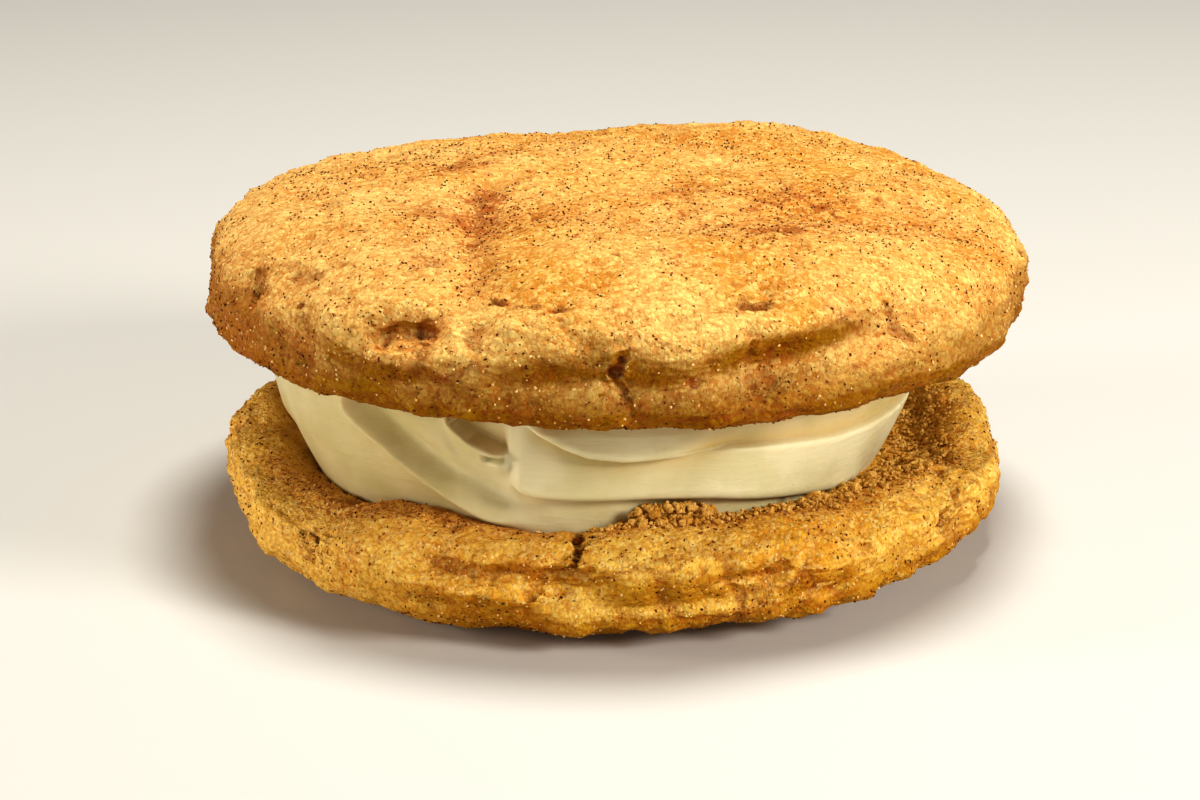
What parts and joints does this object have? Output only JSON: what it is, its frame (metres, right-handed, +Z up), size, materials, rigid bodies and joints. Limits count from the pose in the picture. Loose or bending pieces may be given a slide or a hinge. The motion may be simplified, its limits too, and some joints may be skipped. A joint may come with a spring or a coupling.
{
  "type": "sandwich cookie",
  "caption": "Sandwich cookie: two thick soft sugared cookies, the lower one upside down, with a swirl of pale buttercream standing out between them.",
  "frame": {"origin": "on the table, under the middle of the cookie's bounds", "axes": "+X to the cookie's right-hand end and +Y to its back as the picture sees it, +Z up through the stack"},
  "size_m": [0.0814, 0.0788, 0.0362],
  "materials": {
    "crust": "matte baked crust with cinnamon sugar",
    "buttercream": "smooth buttercream with a faint soft sheen"
  },
  "bodies": {
    "root": {"upper_cookie": "crust", "cream_filling": "buttercream", "lower_cookie": "crust"}
  },
  "joints": []
}
